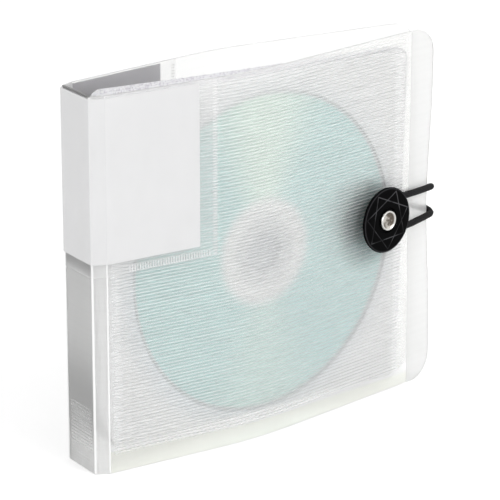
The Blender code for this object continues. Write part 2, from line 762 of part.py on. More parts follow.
def make_loop(collection, cutters, materials, line, parent, button_frame):
    """The elastic loop, the clip that holds its ends and the patch under the clip."""
    near = line.back_end - CLIP_FROM_EDGE
    middle = near - CLIP_LENGTH / 2
    patch_depth = SHEET + SEAT
    clip_depth = patch_depth + PATCH_THICK + SEAT
    patch = slab(
        near - CLIP_LENGTH / 2 - PATCH_LENGTH / 2,
        near - CLIP_LENGTH / 2 + PATCH_LENGTH / 2,
        CLIP_Z - PATCH_HEIGHT / 2,
        CLIP_Z + PATCH_HEIGHT / 2,
        patch_depth,
        PATCH_THICK,
    )
    fold(patch, line, "loop_patch", collection, materials["patch"], parent)
    frame = panel_frame(line, middle, clip_depth + CLIP_THICK / 2, CLIP_Z)
    # the frame's X runs towards the spine here, so it is turned to run to the fore-edge
    frame = frame @ Matrix.Rotation(math.radians(180), 4, "Y")
    mesh = bpy.data.meshes.new("loop_clip")
    work = bmesh.new()
    bmesh.ops.create_cube(work, size=1.0)
    bmesh.ops.scale(work, vec=(CLIP_LENGTH, CLIP_HEIGHT, CLIP_THICK), verts=work.verts)
    long_edges = [e for e in work.edges if abs(e.verts[0].co.x - e.verts[1].co.x) > CLIP_LENGTH / 2]
    bmesh.ops.bevel(
        work, geom=long_edges, offset=1.2 * MM, segments=3, profile=0.5, affect="EDGES", material=-1
    )
    work.to_mesh(mesh)
    work.free()
    clip = add_object("loop_clip", mesh, collection, materials["clip"])
    clip.parent = parent
    clip.matrix_parent_inverse = parent.matrix_world.inverted()
    clip.matrix_world = frame
    for side in (1, -1):
        place = Vector((CLIP_LENGTH / 2, side * STRAND_PITCH / 2, 0.0))
        along_x = Matrix.Rotation(math.radians(90), 4, "Y")
        drill(clip, frame @ Matrix.Translation(place) @ along_x, CORD / 2 + 0.2 * MM, cutters, f"strand_hole_{side + 1}")
    route = smooth_route(loop_route(line, button_frame, frame), 4.0 * MM)
    curve = bpy.data.curves.new("elastic_loop", "CURVE")
    curve.dimensions = "3D"
    curve.bevel_depth = CORD / 2
    curve.bevel_resolution = 2
    curve.use_fill_caps = True
    curve.render_resolution_u = 0
    spline = curve.splines.new("POLY")
    spline.points.add(len(route) - 1)
    for point, place in zip(spline.points, route):
        point.co = (*place, 1.0)
    return add_object("elastic_loop", curve, collection, materials["elastic"], parent)


def main():
    clear_scene()
    case = new_collection("disc_wallet")
    cutters = new_collection("cutters")
    line = CoverLine()
    spine_axis = add_empty("spine_foot", (0, 0, 0), case)
    front_axis = add_empty("front_hinge_axis", (*FRONT_CORNER, 0.0), case, parent=spine_axis)
    back_axis = add_empty("back_hinge_axis", (*BACK_CORNER, 0.0), case, parent=spine_axis)

    half = SPINE_WIDTH / 2
    for name, start, end, parent, far_end, pinched in (
        ("front_panel", line.front_end, -half - FOLD_GAP, front_axis, line.front_end, True),
        ("spine_panel", -half + FOLD_GAP, half - FOLD_GAP, spine_axis, None, False),
        ("back_panel", half + FOLD_GAP, line.back_end, back_axis, line.back_end, False),
    ):
        sheet = finish(name, (0.86, 0.87, 0.85), 0.45, alpha=0.6)
        made = ribbed_panel(line, start, end, name, case, sheet, parent, far_end, pinched)
        if name == "front_panel":
            front_panel = made

    beyond = half + CORNER_RELIEF
    inside = half - CORNER_RELIEF
    film_front = half + LABEL_FRONT + WELD_GAP + WELD_WIDTH
    film_back = half + LABEL_BACK + WELD_GAP + WELD_WIDTH
    for suffix, parent, label_span, film_span, side in (
        ("front", front_axis, (-half - LABEL_FRONT, -beyond), (-film_front, -beyond), -1),
        ("spine", spine_axis, (-inside, inside), (-inside, inside), 0),
        ("back", back_axis, (beyond, half + LABEL_BACK), (beyond, film_back), 1),
    ):
        paper = finish("label_" + suffix, (0.81, 0.81, 0.81), 0.6)
        clear = finish("pocket_film_" + suffix, (0.9, 0.91, 0.9), 0.15, alpha=0.25)
        label_piece(line, *label_span, "label_" + suffix, case, paper, parent)
        film_piece(line, *film_span, "pocket_film_" + suffix, case, clear, parent, side)

    make_pages(case, cutters, finish("pages", (0.85, 0.86, 0.88), 0.5, alpha=0.8))
    make_disc(case, finish("disc", (0.55, 0.72, 0.71), 0.2, 0.6), spine_axis)
    button_finishes = {
        "button": finish("button", (0.02, 0.02, 0.022), 0.4),
        "rivet": finish("rivet", (0.78, 0.78, 0.76), 0.25, 1.0),
        "washer": finish("button_washer", (0.02, 0.02, 0.022), 0.5),
    }
    button_frame = make_button(case, button_finishes, line, front_axis)
    drill(front_panel, button_frame, RIVET_SHANK / 2 + SEAT, cutters, "rivet_hole")
    loop_finishes = {
        "patch": finish("loop_patch", (0.62, 0.5, 0.38), 0.5),
        "clip": finish("loop_clip", (0.05, 0.05, 0.055), 0.35, 0.8),
        "elastic": finish("elastic_loop", (0.015, 0.015, 0.017), 0.7),
    }
    make_loop(case, cutters, loop_finishes, line, back_axis, button_frame)


main()
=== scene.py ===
"""Looks of a folding disc wallet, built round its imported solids."""
import math

import bmesh
import bpy
from mathutils import Matrix, Vector


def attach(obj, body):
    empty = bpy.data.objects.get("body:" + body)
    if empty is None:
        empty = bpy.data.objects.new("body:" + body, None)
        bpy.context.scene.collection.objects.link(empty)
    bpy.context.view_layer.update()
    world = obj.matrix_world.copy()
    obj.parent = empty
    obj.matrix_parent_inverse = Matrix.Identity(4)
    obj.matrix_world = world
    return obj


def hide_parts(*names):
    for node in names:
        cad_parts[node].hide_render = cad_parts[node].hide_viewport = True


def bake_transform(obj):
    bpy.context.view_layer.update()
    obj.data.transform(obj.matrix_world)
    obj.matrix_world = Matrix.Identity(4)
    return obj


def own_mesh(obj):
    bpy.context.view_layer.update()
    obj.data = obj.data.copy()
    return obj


bl_info = {
    "name": "Disc Wallet",
    "version": (1, 0, 0),
    "blender": (4, 5, 0),
    "location": "3D View > Sidebar > Disc Wallet",
    "description": "Dresses the solids of a folding disc wallet with its films, creases and finishes",
    "category": "Object",
}

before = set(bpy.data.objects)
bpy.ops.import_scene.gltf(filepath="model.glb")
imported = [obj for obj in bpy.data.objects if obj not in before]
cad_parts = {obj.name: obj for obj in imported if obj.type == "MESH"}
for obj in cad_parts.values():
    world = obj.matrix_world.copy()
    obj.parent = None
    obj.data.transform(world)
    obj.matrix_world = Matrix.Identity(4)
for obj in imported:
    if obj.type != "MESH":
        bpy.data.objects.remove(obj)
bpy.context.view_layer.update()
MM = 0.001
NEAR = 0.001 * MM
TOUCH = 1e-7

# The plan of the cover, as the solids have it.
CASE_HEIGHT = 138.0 * MM
SPINE_WIDTH = 18.5 * MM
SHEET = 0.8 * MM
STRIP = 5.2 * MM
SPLAY = 25.0
RIB_PITCH = 2.46 * MM
SEAT = 0.3 * MM
RELIEF = 0.7 * MM
RIB_MARGIN = 1.6 * MM
RIB_RAMP = 0.5 * MM
RIB_TALL = 0.32 * MM
CREST_STAND = 0.04 * MM
GROOVE_STAND = 0.02 * MM
RIB_START = 16.0 * MM
RIB_END = 24.0 * MM
SPINE_RIB_TOP = 26.0 * MM
CORNER_RADIUS = 10.0 * MM
MILKY_EDGE = 12.0 * MM
MILKY_ROUGHNESS = 0.33
ROUGHNESS_SWAY = 0.012
SHEET_IOR = 1.35
RIM_SLANT = 0.5
FOLD_GAP = 0.18 * MM
CREASE_ENDS = (0.4 * MM, CASE_HEIGHT - 0.2 * MM)
SCORE_WIDTH = 0.6 * MM
PINCH_COLUMNS = (0.17, 0.34, 0.67, 1.0)
PINCH_ROWS = 12
FRONT_LEGS = ((46.0 * MM, 0.0, 1), (32.0 * MM, 12.3991, 4), (77.3 * MM, 0.0, 1))
BACK_SLOPE = 10.3026
BACK_LEGS = ((56.0 * MM, 0.0, 1), (24.0 * MM, -13.2026, 4), (73.2 * MM, 0.0, 1))
PINCH_DEPTH = 2.2 * MM
PINCH_REACH = 30.0 * MM
PINCH_SPREAD = 30.0 * MM
BUTTON_FROM_EDGE = 29.6 * MM
BUTTON_HEIGHT = 70.0 * MM
BUTTON_FACE = 4.9 * MM
HUB_RADIUS = 4.5 * MM
RIVET_HOLE = 2.1 * MM
STAR_RADIUS = 11.3 * MM
STAR_TURN = math.radians(168.8)
CORD = 2.5 * MM
CLIP_FROM_EDGE = 9.0 * MM
CLIP_LENGTH = 15.0 * MM
CLIP_DEPTH = 3.6 * MM
PATCH_THICK = 0.4 * MM
STRAND_PITCH = 3.4 * MM
TIP_REACH = 5.35 * MM
DISC_CENTRE = Vector((76.5, 0.6, 66.7)) * MM
PAGE_FOOT = 6.2 * MM
PAGE_SLOPE = math.tan(math.radians(1.5))
HEM = 2.3 * MM
DISC_TURN = 6.6002

CAMERA_AZIMUTH = -32.27
CAMERA_ELEVATION = 18.0
CAMERA_DISTANCE = 1054.0 * MM
CAMERA_TARGET = (59.6, 5.0, 72.0)
AIM_RIGHT = 11.9 * MM
AIM_DOWN = 3.0 * MM
LAMPS = (
    ("key", (0.55, -1.1, 1.1), 0.9, 9.0),
    ("fill", (-1.3, -0.7, 0.8), 1.0, 5.5),
)

# Where the masks of the finishes start and end: a rise or a fall is a pair, and a band is one of each.
POCKET_SIDES = ((16.3 * MM, 17.2 * MM), (136.0 * MM, 137.0 * MM))
WINDOW_EDGE = (58.8 * MM, 60.3 * MM)
DISC_SHADE = ((57.5 * MM, 59.5 * MM), (59.5 * MM, 69.5 * MM))
DISC_RIM = (58.3 * MM, 58.7 * MM)
HUB_EDGE = (17.5 * MM, 22.5 * MM)
HUB_INSIDE = (11.5 * MM, 15.0 * MM)
HOLE_EDGE = (8.5 * MM, 9.5 * MM)
LEAF_TOP = (128.0 * MM, 128.6 * MM)
SPINE_SHADE = ((6.0 * MM, 18.0 * MM), (28.0 * MM, 50.0 * MM))
BUTTON_SHADE = (10.5 * MM, 19.5 * MM)
BUTTON_RIM_HIGHLIGHT = ((11.7 * MM, 11.9 * MM), (12.1 * MM, 12.3 * MM))
RIVET_RIM = (2.8 * MM, 3.2 * MM)
STAR_LINE = (0.1 * MM, 0.26 * MM)

# The rivet's outline from its axis outwards, in millimetres: the dish, the rolled rim, the shank and its tail.
RIVET_PROFILE = (
    (0.0, 5.12), (0.9, 5.08), (1.7, 5.0), (2.4, 5.06), (2.85, 5.3), (3.1, 5.62), (3.35, 5.76), (3.62, 5.7),
    (3.82, 5.45), (3.88, 5.1), (3.75, 4.75), (1.8, 4.72), (1.8, -2.0), (3.0, -2.0), (2.8, -2.4), (1.3, -2.4),
    (0.9, -2.2), (0.0, -2.2),
)

FILM_ALPHAS = (("film", 0.08, 0.13), ("weld", 0.14, 0.2), ("dashes", 0.42, 0.52))
LABEL_THICK = 0.25 * MM
FILM_THICK = 0.3 * MM
LABEL_FRONT = 42.9 * MM
LABEL_BACK = 46.5 * MM
LABEL_BOTTOM = 78.0 * MM
LABEL_TOP = 137.2 * MM
LABEL_SEAM = 1.0 * MM
WELD_GAP = 5.1 * MM
WELD_WIDTH = 2.2 * MM
WELD_RAMP = 1.2 * MM
WELD_BOTTOM = 73.5 * MM
WELD_TOP = 77.3 * MM
WELD_START = 13.0 * MM
DASH_THICK = 0.16 * MM
SIDE_DASH = (1.6 * MM, 0.45 * MM)
FOOT_DASH = (0.42 * MM, 2.3 * MM)
FOOT_HOOK = (0.55 * MM, 0.4 * MM)


class WalletSheet(bpy.types.PropertyGroup):
    """The frosted cover and its creases."""

    colour: bpy.props.FloatVectorProperty(
        name="Sheet colour", description="Colour of the frosted sheet", default=(0.99, 0.992, 0.985), subtype="COLOR"
    )
    roughness: bpy.props.FloatProperty(
        name="Frosting", description="How much the sheet blurs what is behind it", default=0.24, subtype="FACTOR"
    )
    crease_width: bpy.props.FloatProperty(
        name="Crease width", description="Width of the whitened spine creases", default=1.1 * MM, unit="LENGTH"
    )


class WalletLabel(bpy.types.PropertyGroup):
    """The label and the clear pocket over it."""

    outside: bpy.props.FloatVectorProperty(
        name="Label outside", description="Colour of the label's outer side",
        default=(0.725, 0.725, 0.73), subtype="COLOR",
    )
    inside: bpy.props.FloatVectorProperty(
        name="Label inside", description="Colour of the label's inner side",
        default=(0.76, 0.74, 0.795), subtype="COLOR",
    )
    dash_pitch: bpy.props.FloatProperty(
        name="Weld dash pitch", description="Distance from one weld dash to the next", default=1.05 * MM, unit="LENGTH"
    )


class WalletClosure(bpy.types.PropertyGroup):
    """The button and its elastic loop."""

    button: bpy.props.FloatVectorProperty(
        name="Button colour", description="Colour of the moulded button",
        default=(0.0012, 0.0012, 0.0014), subtype="COLOR",
    )
    elastic: bpy.props.FloatVectorProperty(
        name="Elastic colour", description="Colour of the woven elastic",
        default=(0.006, 0.0058, 0.0065), subtype="COLOR",
    )
    cord: bpy.props.FloatProperty(
        name="Elastic thickness", description="Diameter of the elastic cord", default=CORD, unit="LENGTH"
    )


class WalletStage(bpy.types.PropertyGroup):
    """The floor, the light and the camera."""

    floor: bpy.props.FloatVectorProperty(
        name="Floor colour", description="Colour of the pale floor", default=(0.93, 0.93, 0.93), subtype="COLOR"
    )
    daylight: bpy.props.FloatProperty(name="Soft light", description="Strength of the all-round light", default=0.72)
    lens: bpy.props.FloatProperty(
        name="Lens", description="Focal length of the camera", default=210.96, subtype="DISTANCE_CAMERA"
    )


# ---- plan line -----------------------------------------------------------------------------------------------
def walked(start, heading, legs):
    """Plan points from start: each leg is its length, its turn in degrees and its number of steps."""
    points = [Vector(start)]
    angle = math.radians(heading)
    for length, turn, steps in legs:
        step_turn = math.radians(turn) / steps
        for _ in range(steps):
            angle += step_turn / 2
            points.append(points[-1] + length / steps * Vector((math.cos(angle), math.sin(angle))))
            angle += step_turn / 2
    return points


class CoverLine:
    """The cover's outer face in plan. A place is its distance from the spine's middle, negative to the front."""

    def __init__(self):
        x, half = -SHEET / 2, SPINE_WIDTH / 2
        strip = ((RELIEF, 0.0, 1), (STRIP - RELIEF, 0.0, 1))
        front = walked((x, -half), -SPLAY, strip + ((0.0, SPLAY, 1),) + FRONT_LEGS)
        back = walked((x, half), SPLAY, strip + ((0.0, BACK_SLOPE - SPLAY, 1),) + BACK_LEGS)
        raw = front[::-1] + [Vector((x, RELIEF - half)), Vector((x, half - RELIEF))] + back
        self.points = [raw[0]] + [b for a, b in zip(raw, raw[1:]) if (b - a).length > TOUCH]
        self.places = [0.0]
        for a, b in zip(self.points, self.points[1:]):
            self.places.append(self.places[-1] + (b - a).length)
        corner = min(range(len(self.points)), key=lambda i: (self.points[i] - Vector((x, -half))).length)
        middle = self.places[corner] + half
        self.places = [place - middle for place in self.places]
        self.inward = [self.mitre(i) for i in range(len(self.points))]

    def normal(self, i):
        along = (self.points[i + 1] - self.points[i]).normalized()
        return Vector((along.y, -along.x))

    def mitre(self, i):
        before = self.normal(max(i - 1, 0))
        bisector = (before + self.normal(min(i, len(self.points) - 2))).normalized()
        return bisector / bisector.dot(before)

    def at(self, place, depth):
        i = max(0, min(len(self.places) - 2, sum(1 for p in self.places if p <= place) - 1))
        share = (place - self.places[i]) / (self.places[i + 1] - self.places[i])
        point = self.points[i].lerp(self.points[i + 1], share)
        return point + self.inward[i].lerp(self.inward[i + 1], share) * depth

    def heading(self, place):
        along = (self.at(place + 0.1 * MM, 0.0) - self.at(place - 0.1 * MM, 0.0)).normalized()
        return Vector((along.y, -along.x))

    def folds(self, start, end):
        return [p for p in self.places if start + NEAR < p < end - NEAR]


LINE = CoverLine()
FRONT_END = LINE.places[0]
BACK_END = LINE.places[-1]


def pinch(place, height):
    """How far the loop draws the front fore-edge in."""
    share = max(0.0, 1.0 - (place - FRONT_END) / PINCH_REACH)
    return PINCH_DEPTH * share**2.5 * math.exp(-(((height - BUTTON_HEIGHT) / PINCH_SPREAD) ** 2))


def ramp(value, low, high):
    return max(0.0, min(1.0, (value - low) / (high - low)))


def panel_frame(place, depth, height):
    """A frame on the cover whose Z points outwards."""
    point, inward = LINE.at(place, depth), LINE.heading(place)
    z_axis, y_axis = Vector((-inward.x, -inward.y, 0.0)), Vector((0.0, 0.0, 1.0))
    turn = Matrix((y_axis.cross(z_axis), y_axis, z_axis)).transposed().to_4x4()
    return Matrix.Translation((point.x, point.y, height)) @ turn


# ---- sheet pieces --------------------------------------------------------------------------------------------
def add_box(work, size, middle):
    """Adds a box to the mesh and gives its corners."""
    corners = bmesh.ops.create_cube(work, size=1.0)["verts"]
    bmesh.ops.scale(work, vec=size, verts=corners)
    bmesh.ops.translate(work, vec=middle, verts=corners)
    return corners


def strip_work(start, end, bottom, top, depth, thickness, columns=(), rows=()):
    """A flat strip of sheet: X along the cover's line, Y its depth inward and Z its height."""
    work = bmesh.new()
    middle = ((start + end) / 2, depth + thickness / 2, (bottom + top) / 2)
    add_box(work, (end - start, thickness, top - bottom), middle)
    cut_work(work, columns, rows)
    return work


def cover_sheet(start, end, far):
    """A flat-faced stretch of the cover, its corners rounded at the free edge."""
    work = strip_work(start, end, 0.0, CASE_HEIGHT, 0.0, SHEET)
    if far is not None:
        at_edge = [e for e in work.edges if all(abs(v.co.x - far) < NEAR for v in e.verts)]
        corners = [e for e in at_edge if abs(e.verts[0].co.y - e.verts[1].co.y) > NEAR]
        bmesh.ops.bevel(
            work, geom=corners, offset=CORNER_RADIUS, segments=10, profile=0.5, affect="EDGES", material=-1
        )
    columns, rows = set(LINE.folds(start, end)), []
    button_place = FRONT_END + BUTTON_FROM_EDGE
    if far == FRONT_END:
        columns |= {FRONT_END + share * PINCH_REACH for share in PINCH_COLUMNS} | {FRONT_END + MILKY_EDGE}
        columns |= {button_place + side * RIVET_HOLE for side in (-1, 1)}
        rows = [CASE_HEIGHT * (i + 1) / (PINCH_ROWS + 1) for i in range(PINCH_ROWS)]
        rows += [BUTTON_HEIGHT + side * RIVET_HOLE for side in (-1, 1)]
    cut_work(work, columns, rows)
    if far == FRONT_END:
        covered = [f for f in work.faces if in_hole(f.calc_center_median(), button_place)]
        bmesh.ops.delete(work, geom=covered, context="FACES_ONLY")
        bmesh.ops.bridge_loops(work, edges=[e for e in work.edges if e.is_boundary])
    if far is not None:
        work.normal_update()
        for face in work.faces:
            place = face.calc_center_median().x
            by_spine, by_edge = abs(place) < SPINE_WIDTH / 2 + STRIP, place < FRONT_END + MILKY_EDGE
            on_rim = abs(face.normal.y) < RIM_SLANT
            face.material_index = 2 if on_rim else 1 if by_spine or by_edge else 0
    return folded(work, pinch if far == FRONT_END else None)


def in_hole(middle, place):
    """Whether a face of the flat sheet lies over the rivet's hole."""
    near = abs(middle.x - place) < RIVET_HOLE and abs(middle.z - BUTTON_HEIGHT) < RIVET_HOLE
    return near and (middle.y < NEAR or middle.y > SHEET - NEAR)


def cut_work(work, columns=(), rows=()):
    """Cuts a flat strip where it is to fold: upright at the columns and level at the rows."""
    for normal, places in (((1, 0, 0), sorted(columns)), ((0, 0, 1), sorted(rows))):
        for place in places:
            geom = work.verts[:] + work.edges[:] + work.faces[:]
            bmesh.ops.bisect_plane(work, geom=geom, plane_co=Vector(normal) * place, plane_no=normal, dist=TOUCH)


def folded(work, extra=None):
    """Folds a flat strip along the cover's line."""
    for vert in work.verts:
        place, depth, height = vert.co
        if extra:
            depth += extra(place, height)
        point = LINE.at(place, depth)
        vert.co = (point.x, point.y, height)
    bmesh.ops.recalc_face_normals(work, faces=work.faces)
    if work.calc_volume(signed=True) < 0:
        bmesh.ops.reverse_faces(work, faces=work.faces)
    return work


def linked(name, data):
    """A new object of the data, in the scene."""
    made = bpy.data.objects.new(name, data)
    bpy.context.scene.collection.objects.link(made)
    return made


def piece(name, work, *materials, smooth=False):
    """An object of the worked mesh."""
    mesh = bpy.data.meshes.new(name)
    if smooth:
        for face in work.faces:
            face.smooth = True
    work.to_mesh(mesh)
    work.free()
    if smooth:
        mesh.set_sharp_from_angle(angle=math.radians(30.0))
    for material in materials:
        mesh.materials.append(material)
    return linked(name, mesh)


# ---- shader helpers ------------------------------------------------------------------------------------------
class Nodes:
    """Adds shader nodes to a tree: numbers and colours are set on a socket, and sockets are linked to it."""

    def __init__(self, tree):
        self.tree = tree

    def add(self, kind, settings=None, **inputs):
        node = self.tree.nodes.new(kind)
        for key, value in (settings or {}).items():
            setattr(node, key, value)
        self.set(node, **inputs)
        return node

    def set(self, node, **inputs):
        """Fills the node's inputs: each by its name, or by its number as i0, i1 and so on."""
        for key, value in inputs.items():
            numbered = key[0] == "i" and key[1:].isdigit()
            self.put(node.inputs[int(key[1:]) if numbered else key.replace("_", " ")], value)

    def put(self, socket, value):
        if isinstance(value, bpy.types.NodeSocket):
            self.tree.links.new(value, socket)
        elif isinstance(value, bpy.types.Node):
            self.tree.links.new(value.outputs[0], socket)
        else:
            socket.default_value = value

    def math(self, operation, a, b=0.0, clamp=False):
        return self.add("ShaderNodeMath", {"operation": operation, "use_clamp": clamp}, i0=a, i1=b).outputs[0]

    def times(self, a, b):
        return self.math("MULTIPLY", a, b)

    def reach(self, x, y):
        """How far a flat place lies from its zero."""
        return self.math("SQRT", self.math("ADD", self.times(x, x), self.times(y, y)))

    def mix(self, factor, a, b):
        return self.add("ShaderNodeMix", {"data_type": "RGBA"}, Factor=factor, i6=a, i7=b).outputs[2]

    def span(self, value, low, high, out_low=0.0, out_high=1.0, smooth=True):
        kind = "SMOOTHSTEP" if smooth else "LINEAR"
        return self.add(
            "ShaderNodeMapRange",
            {"interpolation_type": kind},
            Value=value, From_Min=low, From_Max=high, To_Min=out_low, To_Max=out_high,
        ).outputs[0]

    def fade(self, value, start, end, most=1.0):
        """A mask that falls from its most at the start to nothing at the end."""
        return self.span(value, start, end, most, 0.0)

    def band(self, value, rise, fall):
        """A mask that is whole between the end of its rise and the start of its fall."""
        return self.times(self.span(value, *rise), self.fade(value, *fall))

    def noise(self, place, scale, detail=3.0, rough=0.5, stretch=None):
        if stretch:
            place = self.add("ShaderNodeMapping", Vector=place, Scale=stretch).outputs[0]
        return self.add("ShaderNodeTexNoise", Vector=place, Scale=scale, Detail=detail, Roughness=rough).outputs[0]

    def place(self):
        return self.add("ShaderNodeTexCoord").outputs["Object"]

    def local(self, place, origin, turn):
        """The place as it is in a turned frame with an origin of its own."""
        kind = {"vector_type": "TEXTURE"}
        return self.add("ShaderNodeMapping", kind, Vector=place, Location=origin, Rotation=turn).outputs[0]

    def axis(self, vector, name):
        return self.add("ShaderNodeSeparateXYZ", i0=vector).outputs[name]

    def bump(self, height, distance, strength=1.0, normal=None):
        node = self.add("ShaderNodeBump", Height=height, Distance=distance, Strength=strength)
        if normal is not None:
            self.set(node, Normal=normal)
        return node.outputs[0]

    def group(self, name, **inputs):
        return self.add("ShaderNodeGroup", {"node_tree": bpy.data.node_groups[name]}, **inputs).outputs


def new_material(name):
    material = bpy.data.materials.new(name)
    material.use_nodes = True
    nodes = Nodes(material.node_tree)
    return material, nodes, material.node_tree.nodes["Principled BSDF"]


def tint(colour, share=1.0):
    """An opaque colour for a socket: the colour times a share."""
    return (*(c * share for c in colour), 1.0)


def grey(value):
    return (value, value, value, 1.0)


def new_group(name, inputs, outputs):
    """A shader node group with named sockets: each input is its name, kind and default."""
    tree = bpy.data.node_groups.new(name, "ShaderNodeTree")
    for label, kind, value in inputs:
        socket = tree.interface.new_socket(label, in_out="INPUT", socket_type=kind)
        if value is not None:
            socket.default_value = value
    for label, kind in outputs:
        tree.interface.new_socket(label, in_out="OUTPUT", socket_type=kind)
    nodes = Nodes(tree)
    return tree, nodes, nodes.add("NodeGroupInput").outputs, nodes.add("NodeGroupOutput").inputs


def build_groups():
    """The effects that several finishes share."""
    _, n, given, out = new_group(
        "Drawn streaks",
        [("Place", "NodeSocketVector", None), ("Scale", "NodeSocketFloat", 700.0)],
        [("Streak", "NodeSocketFloat")],
    )
    n.put(out["Streak"], n.noise(given["Place"], given["Scale"], 3.0, stretch=(0.02, 0.02, 1.0)))

    _, n, given, out = new_group(
        "Frosted grain",
        [("Place", "NodeSocketVector", None), ("Scale", "NodeSocketFloat", 900.0)],
        [("Grain", "NodeSocketFloat"), ("Cloud", "NodeSocketFloat")],
    )
    n.put(out["Grain"], n.noise(given["Place"], given["Scale"], 4.0))
    n.put(out["Cloud"], n.noise(given["Place"], 28.0, 2.0))


def above_leaf_foot(n, place):
    """Height above the leaves' slanted foot."""
    slanted = n.math("ADD", n.axis(place, "Z"), n.times(n.axis(place, "X"), PAGE_SLOPE))
    return n.math("SUBTRACT", slanted, PAGE_FOOT)


def frosted_sheet(name, share, roughness, clear, shaded=False, button_shadow=False):
    """Frosted plastic in a share of the sheet's colour. It can carry a painted shadow just under the label with painted
    shade lower down, or a painted shadow of the button and a warmer tint below the leaves.
    """
    material, n, shader = new_material(name)
    colour = [c * share for c in bpy.context.scene.wallet_sheet.colour]
    place = n.place()
    streak = n.group("Drawn streaks", Place=place)["Streak"]
    grain = n.group("Frosted grain", Place=place)
    body = n.mix(n.span(grain["Cloud"], 0.3, 0.7), tint(colour, 0.985), tint(colour))
    body = n.mix(n.span(streak, 0.35, 0.65, 0.5, 0.0), body, tint(colour, 0.95))
    if button_shadow:
        # Painted shadow of the button: the sheet is darker in a soft ring offset to the button's lower left.
        x, y, _ = button_plane(n, place)
        aside, below = n.math("ADD", x, 4.5 * MM), n.math("ADD", y, 2.0 * MM)
        away = n.reach(aside, below)
        body = n.mix(n.fade(away, *BUTTON_SHADE, 0.75), body, tint(colour, 0.62))
        below_leaves = n.fade(above_leaf_foot(n, place), HEM - 0.8 * MM, HEM)
        body = n.mix(below_leaves, body, (0.968, 0.976, 0.928, 1.0))
    if shaded:
        height = n.axis(place, "Z")
        # Painted shadow just under the raised label.
        under = n.span(height, LABEL_BOTTOM - 6.5 * MM, LABEL_BOTTOM - 1.0 * MM)
        body = n.mix(under, body, tint(colour, 0.42))
        # Painted shade over the lower middle of the spine.
        low = n.band(height, *SPINE_SHADE)
        body = n.mix(n.times(low, 0.8), body, tint(colour, 0.66))
    n.set(shader, Base_Color=body)
    low, high = roughness - ROUGHNESS_SWAY, roughness + ROUGHNESS_SWAY
    n.set(shader, Roughness=n.span(grain["Grain"], 0.3, 0.7, low, high), Normal=n.bump(grain["Cloud"], 0.4 * MM, 0.2))
    n.set(shader, Transmission_Weight=clear, IOR=SHEET_IOR)
    return material


def rib_highlight(name, alpha):
    """Painted highlight along the ribs' crests and grooves, where the ribs would catch the light, stronger and weaker
    in places. It casts no shade on the sheet under it.
    """
    material, n, shader = new_material(name)
    place = n.place()
    streak = n.noise(place, 70.0, 3.0, stretch=(0.25, 0.25, 4.0))
    n.set(shader, Base_Color=n.mix(streak, grey(0.95), grey(1.0)), Roughness=n.span(streak, 0.2, 0.8, 0.35, 0.5))
    shown = n.span(streak, 0.3, 0.7, alpha * 0.88, alpha * 1.1)
    behind = n.add("ShaderNodeNewGeometry").outputs["Backfacing"]
    shown = n.times(shown, n.span(behind, 0.0, 1.0, 1.0, 0.05, smooth=False))
    n.set(shader, Alpha=n.times(shown, n.add("ShaderNodeLightPath").outputs["Is Camera Ray"]))
    return material


def crease_white_and_highlight(name):
    """Plastic whitened where it is folded, also a painted highlight along the folds."""
    material, n, shader = new_material(name)
    place = n.place()
    streak = n.noise(place, 240.0, 3.0, stretch=(1.0, 1.0, 0.15))
    n.set(shader, Base_Color=n.mix(streak, grey(0.86), grey(0.95)), Roughness=n.span(streak, 0.2, 0.8, 0.3, 0.5))
    n.set(shader, Normal=n.bump(streak, 0.03 * MM, 0.5))
    return material


def label_paper(name, colour):
    """Plain matt card with a faint fibre."""
    material, n, shader = new_material(name)
    place = n.place()
    fibre = n.noise(place, 1400.0, 4.0, 0.7)
    cloud = n.noise(place, 35.0, 2.0)
    dark = tint(colour, 0.965)
    n.set(shader, Base_Color=n.mix(n.span(n.math("ADD", fibre, cloud), 0.8, 1.2), dark, tint(colour)))
    n.set(shader, Roughness=n.span(fibre, 0.3, 0.7, 0.55, 0.7), Normal=n.bump(fibre, 0.01 * MM, 0.3))
    return material


def clear_film(name, low, high):
    """Clear pocket film, cloudier where it is welded."""
    material, n, shader = new_material(name)
    place = n.place()
    ripple = n.noise(place, 55.0, 2.0, stretch=(1.0, 1.0, 0.5))
    n.set(shader, Base_Color=n.mix(ripple, (0.95, 0.95, 0.955, 1.0), grey(1.0)))
    n.set(shader, Roughness=n.span(ripple, 0.3, 0.7, 0.1, 0.2), Alpha=n.span(ripple, 0.3, 0.7, low, high))
    n.set(shader, Normal=n.bump(ripple, 0.2 * MM, 0.25))
    return material


